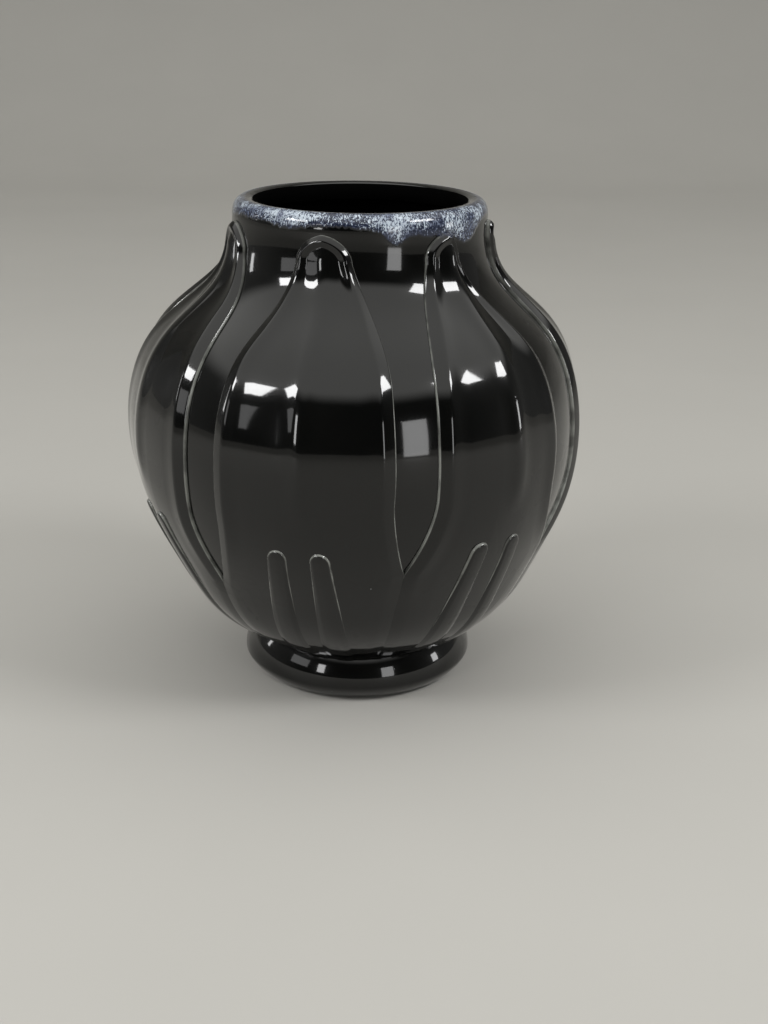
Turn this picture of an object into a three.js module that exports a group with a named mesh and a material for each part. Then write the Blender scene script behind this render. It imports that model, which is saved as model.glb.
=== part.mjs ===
// Art pottery vase: a round bellied body on a rolled foot ring, with a thick rolled rim,
// seven tall pointed leaves applied to its wall and two slender shoots on each leaf.
// Millimetres and degrees. Z is up, the origin is the middle of the face that the foot
// stands on, and angles run from the front, -Y, towards +X.
import * as THREE from "three";

// The foot ring, a fat coil with a flat underside and a straight bore.
const footHeight = 24;
const footRestRadius = 46.3;
const footBoreRadius = 39;
const footBoreChamfer = 2;
const footBulgeRadius = 55.6;
const footBulgeHeight = 9;

// How far the handles of the foot's curves lie along each of its parts.
const footHeelShare = { out: 0.5, up: 0.12 };
const footSideShare = 0.75;
const footShoulderShare = 0.33;
const footSeatShare = { out: 0.62, down: 0.3 };

// The wall's outside, as radius and height above the foot ring. The seat is its flat base.
const seatRadius = 50;
const lowerBody = { radius: 63.5, rise: 9.5 };
const underBelly = { radius: 84.9, rise: 38 };
const lowBelly = { radius: 99.8, rise: 73 };
const belly = { radius: 103.8, rise: 100 };
const highBelly = { radius: 100, rise: 128 };
const shoulder = { radius: 86.2, rise: 151 };
const shoulderFoot = { radius: 68.4, rise: 167 };
const throat = { radius: 60.2, rise: 181 };
const neck = { radius: 58.5, rise: 198 };

const wallThickness = 5.5;
const floorThickness = 8;
const neckWallThickness = 8.5;
const innerCornerRise = 6;

// The rim, a round coil pressed flat where it sits on the neck.
const rimCoilRadius = 6.3;
const rimCoilHeight = 8;
const rimProud = 0.4;

// The pot was made by hand: between two rises its belly stands a little to the left.
const bellyLean = 2.2;
const leanFrom = 20;
const leanTo = 215;

// The leaves. Widths are measured along the wall, and lifts out from it. They are set out by
// eye: each stands some degrees off even spacing, their lower parts lean one way and each tip
// leans its own way.
const leafCount = 7;
const firstLeafAngle = -12.6;
const leafShifts = [0, 3.8, 3.2, 3, 0.5, -1.2, -2.2];
const leafFootTwist = 5.4;
const leafTwistEnds = 110;
const leafTipLeans = [-2.9, -2.5, -12, 3, -2, 2, -5.2];
const leafTipsLeanFrom = 160;
const leafBottomRise = 1.5;
const leafTipBelowRim = 0.8;
const leafArchLength = 12;

// The bare gap after each leaf. It opens above a seam, first fast and then slowly, each gap
// from its own rise, and it widens towards the neck.
const leafSeam = 0.7;
const bellyGaps = [18.5, 30, 18, 20, 17, 19, 17];
const gapsOpenFrom = [58, 55, 50, 56, 52, 57, 43];
const gapOpensOver = 35;
const gapOpeningPower = 1.6;
const gapGrowth = 19;
const gapWidensFrom = 142;
const gapWidensTo = 209;

// The leaf's section, from its edge to its middle. Near the narrow tip each part of it keeps
// to its share of the half width.
const leafEdgeLift = 1.2;
const crestLift = 3.3;
const crestFromEdge = 5.5;
const crestShare = 0.2;
const channelLift = 2.2;
const channelFromEdge = 12;
const channelShare = 0.5;
const panelLift = 2.5;
const midribLift = 3.8;
const midribHalfWidth = 6.5;
const midribShare = 0.35;
const midribFadesFrom = 100;
const midribFadesTo = 78;
const crestFadesFrom = 74;
const crestFadesTo = 40;

// The shoots, two on the lower part of each leaf. On some leaves both stand a little aside.
const shootShifts = [0, -2.6, -1, 1, 0, -0.5, 0];
const shootTopRise = 70;
const shootBottomRise = 4;
const shootTopSpread = 5.3;
const shootBottomSpread = 8.5;
const shootFootDrift = 2.5;
const shootTopHalfWidth = 4.2;
const shootBottomHalfWidth = 7;
const shootArchLength = 5;
const shootEdgeLift = 0.5;
const shootLift = 1.6;
const shootFlankLift = 1.3;
const shootFlankShare = 0.4;

// How far down a rounded tip the middle line ends, as a share of the tip's length.
const tipMiddleShare = 0.9;

// The slip between two pieces that lie on one another along a curved face.
const fitGap = 0.3;

// How finely the round forms are divided.
const turnSegments = 70;
const wallLevelCount = 15;
const archSteps = 4;
const innerLevelCount = 11;
const coilSteps = 12;
const footSideSteps = 7;
const footTopSteps = 4;
const leastRowStep = 1;
const leastArea = 1e-7;

const blackGlaze = { color: 0x0b0c0e, roughness: 0.06, metalness: 0 };
const rimGlaze = { color: 0x8f9cb8, roughness: 0.12, metalness: 0 };

const radians = THREE.MathUtils.degToRad;
const { lerp, smoothstep } = THREE.MathUtils;

const stations = [lowerBody, underBelly, lowBelly, belly, highBelly, shoulder, shoulderFoot, throat, neck];
const profile = new THREE.CubicInterpolant(
  [0, ...stations.map((station) => station.rise)],
  [seatRadius, ...stations.map((station) => station.radius)],
  1,
);

const leafTopRise = neck.rise - leafTipBelowRim;
const leafArchRise = leafTopRise - leafArchLength;

/** Radius of the wall's outside at a rise above the foot ring. */
function wallRadius(rise) {
  return profile.evaluate(THREE.MathUtils.clamp(rise, 0, neck.rise))[0];
}

/** The wall's outward direction at a rise, as a vector of radius and height. */
function wallNormal(rise) {
  const step = 0.5;
  const low = Math.max(rise - step, 0);
  const high = Math.min(rise + step, neck.rise);
  return new THREE.Vector2(high - low, wallRadius(low) - wallRadius(high)).normalize();
}

/** How far the pot's middle stands to the side at a height above the ground. */
function leanAt(height) {
  const share = (height - footHeight - leanFrom) / (leanTo - leanFrom);
  return -bellyLean * Math.sin(Math.PI * THREE.MathUtils.clamp(share, 0, 1)) ** 2;
}

/** A point lifted off the wall, at an angle from the front and a rise above the foot ring. */
function onWall(angle, rise, lift) {
  const normal = wallNormal(rise);
  const radius = wallRadius(rise) + lift * normal.x;
  const height = footHeight + rise + lift * normal.y;
  const turn = radians(angle);
  return new THREE.Vector3(radius * Math.sin(turn) + leanAt(height), -radius * Math.cos(turn), height);
}

/** Rises at which the wall, the leaves and the shoots all have a row of points. */
function wallLevels() {
  const rises = [];
  for (let i = 0; i <= wallLevelCount; i += 1) {
    rises.push((leafArchRise * i) / wallLevelCount);
  }
  for (let i = 1; i <= archSteps; i += 1) {
    rises.push(leafArchRise + leafArchLength * Math.sin((Math.PI / 2) * (i / archSteps)));
  }
  rises.push(neck.rise);
  return rises;
}

const levels = wallLevels();

/** A named mesh with its own material. */
function makePiece(name, geometry, glaze) {
  geometry.computeVertexNormals();
  const piece = new THREE.Mesh(geometry, new THREE.MeshStandardMaterial(glaze));
  piece.name = name;
  return piece;
}

/** Turns a closed section of radius and height into a ring or bowl that follows the pot's lean. */
function turned(section) {
  const geometry = new THREE.LatheGeometry(section, turnSegments);
  geometry.rotateX(Math.PI / 2);
  const position = geometry.getAttribute("position");
  for (let i = 0; i < position.count; i += 1) {
    position.setX(i, position.getX(i) + leanAt(position.getZ(i)));
  }
  return geometry;
}

/** The ring that the pot stands on. */
function footRing() {
  const heelRadius = lerp(footRestRadius, footBulgeRadius, footHeelShare.out);
  const side = new THREE.CubicBezierCurve(
    new THREE.Vector2(footRestRadius, 0),
    new THREE.Vector2(heelRadius, footHeelShare.up * footBulgeHeight),
    new THREE.Vector2(footBulgeRadius, footSideShare * footBulgeHeight),
    new THREE.Vector2(footBulgeRadius, footBulgeHeight),
  );
  const top = new THREE.CubicBezierCurve(
    new THREE.Vector2(footBulgeRadius, footBulgeHeight),
    new THREE.Vector2(footBulgeRadius, lerp(footBulgeHeight, footHeight, footShoulderShare)),
    new THREE.Vector2(
      lerp(seatRadius, footBulgeRadius, footSeatShare.out),
      lerp(footHeight, footBulgeHeight, footSeatShare.down),
    ),
    new THREE.Vector2(seatRadius, footHeight),
  );
  const section = [
    new THREE.Vector2(footBoreRadius + footBoreChamfer, 0),
    ...side.getPoints(footSideSteps),
    ...top.getPoints(footTopSteps).slice(1),
    new THREE.Vector2(footBoreRadius, footHeight),
    new THREE.Vector2(footBoreRadius, footBoreChamfer),
    new THREE.Vector2(footBoreRadius + footBoreChamfer, 0),
  ];
  return makePiece("foot_ring", turned(section), blackGlaze);
}

/** The hollow body, from its flat base up to the top of the neck. */
function bodyWall() {
  const outside = levels.map((rise) => new THREE.Vector2(wallRadius(rise), footHeight + rise));
  const innerBottom = floorThickness + innerCornerRise;
  const inside = [];
  for (let i = 0; i <= innerLevelCount; i += 1) {
    const rise = lerp(throat.rise, innerBottom, i / innerLevelCount);
    const normal = wallNormal(rise);
    const radius = wallRadius(rise) - wallThickness * normal.x;
    inside.push(new THREE.Vector2(radius, footHeight + rise - wallThickness * normal.y));
  }
  const corner = inside.at(-1);
  const floorHeight = footHeight + floorThickness;
  const section = [
    new THREE.Vector2(0, footHeight),
    ...outside,
    new THREE.Vector2(neck.radius - neckWallThickness, footHeight + neck.rise),
    ...inside,
    new THREE.Vector2(corner.x - innerCornerRise, floorHeight),
    new THREE.Vector2(0, floorHeight),
  ];
  return makePiece("body_wall", turned(section), blackGlaze);
}

/** The thick rounded rim, a coil with a flat where it sits on the neck. */
function rimRoll() {
  const middleRadius = neck.radius + rimProud - rimCoilRadius;
  const seatHeight = footHeight + neck.rise;
  const middleHeight = seatHeight + rimCoilHeight - rimCoilRadius;
  const seatAngle = Math.asin((rimCoilHeight - rimCoilRadius) / rimCoilRadius);
  const section = [];
  for (let i = 0; i <= coilSteps; i += 1) {
    const turn = lerp(-seatAngle, Math.PI + seatAngle, i / coilSteps);
    const radius = middleRadius + rimCoilRadius * Math.cos(turn);
    section.push(new THREE.Vector2(radius, middleHeight + rimCoilRadius * Math.sin(turn)));
  }
  section.push(section[0].clone());
  return makePiece("rim_roll", turned(section), rimGlaze);
}

/** One of a list's values for a leaf, counted round the pot either way. */
function ofLeaf(values, index) {
  return values[(index + leafCount) % leafCount];
}

/** Bare gap between a leaf and the next one on a side at a rise, along the wall. */
function leafGap(index, side, rise) {
  const before = side > 0 ? index : index - 1;
  const opened = (rise - ofLeaf(gapsOpenFrom, before)) / gapOpensOver;
  const opening = 1 - (1 - THREE.MathUtils.clamp(opened, 0, 1)) ** gapOpeningPower;
  const gap = lerp(leafSeam, ofLeaf(bellyGaps, before), opening);
  return gap + gapGrowth * smoothstep(rise, gapWidensFrom, gapWidensTo);
}

/** Angle of a leaf's middle at the belly. */
function leafSetting(index) {
  return firstLeafAngle + (360 * index) / leafCount + ofLeaf(leafShifts, index);
}

/** Angle of a leaf's middle at a rise. */
function leafAngle(index, rise) {
  const twist = lerp(-leafFootTwist, 0, smoothstep(rise, 0, leafTwistEnds));
  const lean = ofLeaf(leafTipLeans, index) * smoothstep(rise, leafTipsLeanFrom, neck.rise);
  return leafSetting(index) + twist + lean;
}

/** Width of a leaf at a rise from its middle to one side, before its tip narrows. */
function leafHalfWidth(index, side, rise) {
  const halfSpacing = radians(side * (leafSetting(index + side) - leafSetting(index))) / 2;
  return halfSpacing * wallRadius(rise) - leafGap(index, side, rise) / 2;
}

/** Lifts across a leaf, each at its distance from the edge, for a half leaf of a given width. */
function leafSection(width, rise) {
  const crest = lerp(panelLift, crestLift, smoothstep(rise, crestFadesTo, crestFadesFrom));
  const channel = lerp(panelLift, channelLift, smoothstep(rise, crestFadesTo, crestFadesFrom));
  const rib = lerp(panelLift, midribLift, smoothstep(rise, midribFadesTo, midribFadesFrom));
  const channelFrom = Math.min(channelFromEdge, channelShare * width);
  const ribFrom = width - Math.min(midribHalfWidth, midribShare * width);
  return [
    { from: 0, lift: leafEdgeLift },
    { from: Math.min(crestFromEdge, crestShare * width), lift: crest },
    { from: channelFrom, lift: channel },
    { from: lerp(channelFrom, ribFrom, 1 / 3), lift: panelLift },
    { from: lerp(channelFrom, ribFrom, 2 / 3), lift: panelLift },
    { from: ribFrom, lift: panelLift },
    { from: width, lift: rib },
  ];
}

/** Lifts across a shoot, on top of the leaf that carries it. */
function shootSection(width) {
  const seat = panelLift + fitGap;
  return [
    { from: 0, lift: seat + shootEdgeLift },
    { from: shootFlankShare * width, lift: seat + shootFlankLift },
    { from: width, lift: seat + shootLift },
  ];
}

/** Rows of one side of an applied piece, from its bottom to its rounded tip. */
function appliedRows({ bottom, top, arch, halfWidth }, side) {
  const archRise = top - arch;
  const clear = (rise) => rise > bottom + leastRowStep && rise < archRise - leastRowStep;
  const straight = [bottom, ...levels.filter(clear), archRise];
  const rows = straight.map((rise) => ({ rise, width: halfWidth(side, rise) }));
  for (let i = 1; i <= archSteps; i += 1) {
    const turn = (Math.PI / 2) * (i / archSteps);
    const width = i < archSteps ? halfWidth(side, archRise) * Math.cos(turn) : 0;
    rows.push({ rise: archRise + arch * Math.sin(turn), width });
  }
  return rows;
}

/** Triangles between two rows of as many points, each pair split along its shorter diagonal. */
function stitch(rowA, rowB, triangles) {
  for (let i = 0; i < rowA.length - 1; i += 1) {
    const [a, nextA, b, nextB] = [rowA[i], rowA[i + 1], rowB[i], rowB[i + 1]];
    if (b.distanceTo(nextA) < a.distanceTo(nextB)) {
      triangles.push([a, b, nextA], [nextA, b, nextB]);
    } else {
      triangles.push([a, b, nextB], [a, nextB, nextA]);
    }
  }
}

/** A closed mesh from triangles, without those that have no area. */
function closedGeometry(triangles) {
  const numbers = [];
  for (const corners of triangles) {
    const area = new THREE.Triangle(...corners).getArea();
    if (area > leastArea) {
      corners.forEach((corner) => numbers.push(corner.x, corner.y, corner.z));
    }
  }
  const geometry = new THREE.BufferGeometry();
  geometry.setAttribute("position", new THREE.Float32BufferAttribute(numbers, 3));
  return geometry;
}

/**
 * A piece applied to the wall: two halves that meet on its middle line, each running from
 * its edge inwards, over a back that lies on what carries it.
 */
function appliedPiece(form) {
  const { angle, section, seat } = form;
  const middleTop = form.top - tipMiddleShare * form.arch;
  const triangles = [];
  const place = (side, row, share, lift) => {
    const rise = lerp(row.rise, Math.min(row.rise, middleTop), share);
    const offset = side * row.width * (1 - share);
    return onWall(angle(rise) + THREE.MathUtils.radToDeg(offset / wallRadius(rise)), rise, lift);
  };
  for (const side of [-1, 1]) {
    const rows = appliedRows(form, side);
    const faceRows = [];
    const backRows = [];
    for (const row of rows) {
      const reach = Math.hypot(row.width, Math.max(row.rise - middleTop, 0));
      const columns = section(reach, row.rise);
      const shares = columns.map((column) => (reach > 0 ? column.from / reach : 1));
      faceRows.push(columns.map((column, i) => place(side, row, shares[i], column.lift)));
      backRows.push(shares.map((share) => place(side, row, share, seat)));
    }
    const add = (rowA, rowB) => (side < 0 ? stitch(rowA, rowB, triangles) : stitch(rowB, rowA, triangles));
    for (let i = 0; i < rows.length - 1; i += 1) {
      add(faceRows[i + 1], faceRows[i]);
      add(backRows[i], backRows[i + 1]);
      add([faceRows[i][0], backRows[i][0]], [faceRows[i + 1][0], backRows[i + 1][0]]);
    }
    add(faceRows[0], backRows[0]);
  }
  return closedGeometry(triangles);
}

/** One tall leaf with a rolled edge, pointed at its top and meeting its neighbours low down. */
function leaf(index) {
  const geometry = appliedPiece({
    bottom: leafBottomRise,
    top: leafTopRise,
    arch: leafArchLength,
    halfWidth: (side, rise) => leafHalfWidth(index, side, rise),
    angle: (rise) => leafAngle(index, rise),
    section: leafSection,
    seat: fitGap,
  });
  return makePiece(`leaf_${index + 1}`, geometry, blackGlaze);
}

/** One of the two shoots on a leaf: they spread, swell and drift to the right towards the foot. */
function shoot(index, side) {
  const share = (rise) => (rise - shootBottomRise) / (shootTopRise - shootBottomRise);
  const spread = (rise) => side * lerp(shootBottomSpread, shootTopSpread, share(rise));
  const drift = (rise) => lerp(shootFootDrift, 0, share(rise));
  const geometry = appliedPiece({
    bottom: shootBottomRise,
    top: shootTopRise,
    arch: shootArchLength,
    halfWidth: (_, rise) => lerp(shootBottomHalfWidth, shootTopHalfWidth, share(rise)),
    angle: (rise) => leafAngle(index, rise) + ofLeaf(shootShifts, index) + spread(rise) + drift(rise),
    section: shootSection,
    seat: panelLift + fitGap,
  });
  return makePiece(`shoot_${index + 1}_${side < 0 ? "left" : "right"}`, geometry, blackGlaze);
}

const vase = new THREE.Group();
vase.name = "art_pottery_vase";
vase.add(footRing(), bodyWall(), rimRoll());
for (let index = 0; index < leafCount; index += 1) {
  vase.add(leaf(index), shoot(index, -1), shoot(index, 1));
}

export default vase;
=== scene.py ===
"""The looks of the art pottery vase, on a plain pale floor in soft studio light.

The vase is a bellied pot with a fat foot ring, a rolled rim, seven tall leaves laid on its
wall and two shoots on each leaf. Sizes are in millimetres and angles in degrees, and they
become metres where a point is placed. Angles run from the front, -Y, towards +X.
"""
import logging
import math
from abc import ABC, abstractmethod
from bisect import bisect_right
from dataclasses import dataclass, field
from enum import Enum
from functools import cached_property

import bpy
import numpy as np
from mathutils import Matrix, Vector


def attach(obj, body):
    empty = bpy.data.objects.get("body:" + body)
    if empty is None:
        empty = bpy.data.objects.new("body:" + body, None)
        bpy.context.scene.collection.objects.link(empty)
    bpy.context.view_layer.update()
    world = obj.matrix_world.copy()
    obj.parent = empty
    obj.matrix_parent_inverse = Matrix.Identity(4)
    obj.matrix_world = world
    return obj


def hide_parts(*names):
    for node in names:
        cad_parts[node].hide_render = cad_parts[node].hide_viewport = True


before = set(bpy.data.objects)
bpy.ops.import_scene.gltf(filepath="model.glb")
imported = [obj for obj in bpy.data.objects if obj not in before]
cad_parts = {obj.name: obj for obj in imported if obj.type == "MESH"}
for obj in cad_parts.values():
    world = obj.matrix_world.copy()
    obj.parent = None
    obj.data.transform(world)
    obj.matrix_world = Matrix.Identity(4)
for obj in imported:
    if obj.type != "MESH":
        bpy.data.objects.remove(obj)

MM = 0.001
BODY = "root"
# Points closer than this, in millimetres, become one.
MERGE_DISTANCE = 0.004
# How far a rounded corner may reach along the straight part beside it, as a share of that part.
CORNER_LIMIT = 0.45
# Distance over which the colour turns from pale to black beside an edge, in millimetres. The pale edge is
# partly a glaze break and partly a painted highlight along the edge, which also lightens the shaded crevice
# beside it.
EDGE_BREAK_AND_HIGHLIGHT = 0.4

Colour = tuple[float, float, float, float]
# Two lengths, such as a radius and a height, or the two parts of a direction.
Pair = tuple[float, float]
# Where a smooth step begins and ends.
Span = tuple[float, float]
# A span and, if given, the step's values before and after it.
Step = tuple[float, ...]

log = logging.getLogger("vase")


class Side(Enum):
    """The two halves of a leaf, as seen from outside the pot."""

    LEFT = -1
    RIGHT = 1


class Slot(Enum):
    """The record's material slots."""

    BLACK = "black_glaze"
    RIM = "rim_glaze"


def blend(start: float, end: float, share: float) -> float:
    """The value a share of the way from start to end."""
    return start + (end - start) * share


def ease(value: float, low: float, high: float) -> float:
    """A smooth step from 0 below low to 1 above high."""
    share = min(max((value - low) / (high - low), 0.0), 1.0)
    return share * share * (3 - 2 * share)


def nearness(angle: float, other: float, spread: float) -> float:
    """A bell curve of the turn between two angles: 1 where they agree, fading over the spread."""
    turn = (angle - other + 180) % 360 - 180
    return math.exp(-((turn / spread) ** 2))


@dataclass(frozen=True)
class Station:
    """One height of the pot's outside: its radius and its rise above the foot ring."""

    radius: float
    rise: float


@dataclass(frozen=True)
class PotForm:
    """The thrown form that every piece of the vase follows."""

    foot_height: float = 24
    seat_radius: float = 50
    stations: tuple[Station, ...] = (
        Station(63.5, 9.5),
        Station(84.9, 38),
        Station(99.8, 73),
        Station(103.8, 100),
        Station(100, 128),
        Station(86.2, 151),
        Station(68.4, 167),
        Station(60.2, 181),
        Station(58.5, 198),
    )
    throat_rise: float = 181
    belly_lean: float = 2.2
    lean_from: float = 20
    lean_to: float = 215
    normal_step: float = 0.5

    @cached_property
    def rises(self) -> list[float]:
        """Rises of the outline's points."""
        return [0.0, *(station.rise for station in self.stations)]

    @cached_property
    def radii(self) -> list[float]:
        """Radii of the outline's points."""
        return [self.seat_radius, *(station.radius for station in self.stations)]

    @cached_property
    def neck(self) -> Station:
        """The top of the neck, which the rim sits on."""
        return self.stations[-1]

    @cached_property
    def curvatures(self) -> list[float]:
        """Second derivatives at the outline's points, for a curve without kinks in its shine."""
        gaps = np.diff(self.rises)
        slopes = np.diff(self.radii) / gaps
        count = len(self.rises)
        system = np.eye(count)
        target = np.zeros(count)
        for i in range(1, count - 1):
            system[i, i - 1 : i + 2] = gaps[i - 1], 2 * (gaps[i - 1] + gaps[i]), gaps[i]
            target[i] = 6 * (slopes[i] - slopes[i - 1])
        return list(np.linalg.solve(system, target))

    def radius(self, rise: float) -> float:
        """Radius of the wall's outside.

        Args:
            rise: Height above the foot ring.

        Returns:
            The distance from the pot's middle.
        """
        rise = min(max(rise, 0.0), self.neck.rise)
        i = min(bisect_right(self.rises, rise), len(self.rises) - 1) - 1
        gap = self.rises[i + 1] - self.rises[i]
        below = (self.rises[i + 1] - rise) / gap
        above = 1 - below
        bend = (below**3 - below) * self.curvatures[i] + (above**3 - above) * self.curvatures[i + 1]
        return below * self.radii[i] + above * self.radii[i + 1] + bend * gap * gap / 6

    def normal(self, rise: float) -> Pair:
        """The wall's outward direction.

        Args:
            rise: Height above the foot ring.

        Returns:
            Its parts away from the middle and upwards.
        """
        low = max(rise - self.normal_step, 0.0)
        high = min(rise + self.normal_step, self.neck.rise)
        fall = self.radius(low) - self.radius(high)
        length = math.hypot(high - low, fall)
        return (high - low) / length, fall / length

    def lean(self, height: float) -> float:
        """How far the pot's middle stands to the side at a height above the ground."""
        share = (height - self.foot_height - self.lean_from) / (self.lean_to - self.lean_from)
        return -self.belly_lean * math.sin(math.pi * min(max(share, 0.0), 1.0)) ** 2

    def on_wall(self, angle: float, rise: float, lift: float) -> Vector:
        """A point near the wall.

        Args:
            angle: Angle from the front.
            rise: Height above the foot ring.
            lift: Distance out from the wall.

        Returns:
            The point, in metres.
        """
        out, up = self.normal(rise)
        radius = self.radius(rise) + lift * out
        height = self.foot_height + rise + lift * up
        turn = math.radians(angle)
        across = radius * math.sin(turn) + self.lean(height)
        return Vector((across, -radius * math.cos(turn), height)) * MM


@dataclass(frozen=True)
class Run:
    """One place where the rim's glaze has run down the neck."""

    angle: float
    fall: float
    spread: float


@dataclass(frozen=True)
class Patch:
    """One place where the rim's glaze lies thicker or thinner."""

    angle: float
    spread: float
    amount: float


@dataclass(frozen=True)
class RimFlow:
    """Where the speckled glaze covers the rim and the neck, and along what lines it flowed."""

    form: PotForm
    # The lip's outside is a quarter of an oval, from its crest to the neck.
    lip_middle: float = 52.6
    lip_reach: float = 5.9
    lip_rise: float = 8
    lip_quarter: float = 10.8
    edge_height: float = 224
    inner_edge: float = -0.8
    far_off: float = -30
    lowest: float = 190
    runs: tuple[Run, ...] = (
        Run(-32, 1.8, 9),
        Run(15, 5.2, 5),
        Run(38, 5, 26),
        Run(54, 5.5, 8),
        Run(95, 3, 12),
        Run(128, 5, 8),
        Run(165, 2.5, 14),
        Run(-155, 4.5, 9),
        Run(-112, 3, 12),
        Run(-80, 1.5, 10),
    )
    patches: tuple[Patch, ...] = (
        Patch(-42, 20, 1),
        Patch(14, 9, 0.7),
        Patch(60, 12, 0.2),
        Patch(-120, 24, 0.8),
        Patch(150, 20, 0.7),
    )

    def path(self, radius: float, height: float) -> float:
        """Distance along the surface from the lip's crest, positive down the outside."""
        seat = self.form.foot_height + self.form.neck.rise
        if height < seat:
            return self.lip_quarter + seat - height
        up = (height - seat) / self.lip_rise
        out = (radius - self.lip_middle) / self.lip_reach
        return self.lip_quarter * (1 - 2 * math.atan2(up, out) / math.pi)

    def mark(self, piece: bpy.types.Object) -> None:
        """Stores on each point of a piece where the rim's glaze lies.

        Args:
            piece: A finished piece, whose mesh gets the attributes flow, rim_cover and rim_body.
        """
        for name, kind in (("flow", "FLOAT_VECTOR"), ("rim_cover", "FLOAT"), ("rim_body", "FLOAT")):
            piece.data.attributes.new(name, kind, "POINT")
        flow, cover, body = (piece.data.attributes[name].data for name in ("flow", "rim_cover", "rim_body"))
        seat = self.form.foot_height + self.form.neck.rise
        for i, vertex in enumerate(piece.data.vertices):
            x, y, height = vertex.co / MM
            x -= self.form.lean(height)
            radius = math.hypot(x, y)
            angle = math.degrees(math.atan2(x, -y))
            along = self.path(radius, height)
            edge = self.lip_quarter + seat - self.edge_height
            edge += sum(run.fall * nearness(angle, run.angle, run.spread) for run in self.runs)
            outside = height > self.lowest and (height > seat or radius > self.lip_middle)
            cover[i].value = min(edge - along, along - self.inner_edge) if outside else self.far_off
            body[i].value = sum(
                patch.amount * nearness(angle, patch.angle, patch.spread) for patch in self.patches
            )
            share = self.form.neck.radius / max(radius, 1.0)
            flow[i].vector = (x * share, y * share, along)


class NodeSheet:
    """The nodes of one material, added and joined by name."""

    def __init__(self, name: str) -> None:
        """Starts a material.

        Args:
            name: The material's name.
        """
        self.material = bpy.data.materials.new(name)
        self.material.use_nodes = True
        self.tree = self.material.node_tree
        self.shader = self.tree.nodes["Principled BSDF"]

    def add(self, kind: str, **inputs: object) -> bpy.types.Node:
        """Adds a node.

        Args:
            kind: The node's type, without its ShaderNode prefix.
            **inputs: Sockets or values for its inputs, named with _ for a space.

        Returns:
            The node.
        """
        node = self.tree.nodes.new("ShaderNode" + kind)
        for key, value in inputs.items():
            self.feed(node.inputs[key.replace("_", " ")], value)
        return node

    def feed(self, socket: bpy.types.NodeSocket, value: object) -> None:
        """Gives an input a value, or joins it to an output."""
        if isinstance(value, bpy.types.NodeSocket):
            self.tree.links.new(value, socket)
        else:
            socket.default_value = value

    def attribute(self, name: str) -> bpy.types.Node:
        """Adds a node that reads an attribute of the mesh."""
        node = self.add("Attribute")
        node.attribute_name = name
        return node

    def math(self, operation: str, first: object, second: object) -> bpy.types.NodeSocket:
        """Works out one sum of two numbers or sockets."""
        node = self.tree.nodes.new("ShaderNodeMath")
        node.operation = operation
        self.feed(node.inputs[0], first)
        self.feed(node.inputs[1], second)
        return node.outputs[0]

    def step(
        self, value: object, low: float, high: float, start: float = 0, end: float = 1
    ) -> bpy.types.NodeSocket:
        """A smooth step of a value.

        Args:
            value: The value, or its socket.
            low: Where the step begins.
            high: Where the step ends.
            start: Result below the step.
            end: Result above the step.

        Returns:
            The output socket.
        """
        node = self.add("MapRange", Value=value, From_Min=low, From_Max=high, To_Min=start, To_Max=end)
        node.interpolation_type = "SMOOTHSTEP"
        return node.outputs["Result"]

    def mix(self, share: object, first: object, second: object) -> bpy.types.NodeSocket:
        """A colour between two colours or sockets."""
        node = self.tree.nodes.new("ShaderNodeMix")
        node.data_type = "RGBA"
        self.feed(node.inputs[0], share)
        self.feed(node.inputs[6], first)
        self.feed(node.inputs[7], second)
        return node.outputs[2]

    def noise(self, place: bpy.types.NodeSocket, scale: float, detail: float = 2) -> bpy.types.NodeSocket:
        """Cloudy noise of a scale, from 0 to 1."""
        node = self.add("TexNoise", Vector=place, Scale=scale, Detail=detail)
        return node.outputs["Fac"]

    def bump(self, height: object, distance: float, below: object = None) -> bpy.types.NodeSocket:
        """Raises the surface by a height.

        Args:
            height: The height, from 0 to 1.
            distance: How far a height of 1 stands out, in millimetres.
            below: The bump that this one lies on, if any.

        Returns:
            The normal socket.
        """
        node = self.add("Bump", Height=height, Distance=distance * MM)
        if below is not None:
            self.feed(node.inputs["Normal"], below)
        return node.outputs["Normal"]


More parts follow.
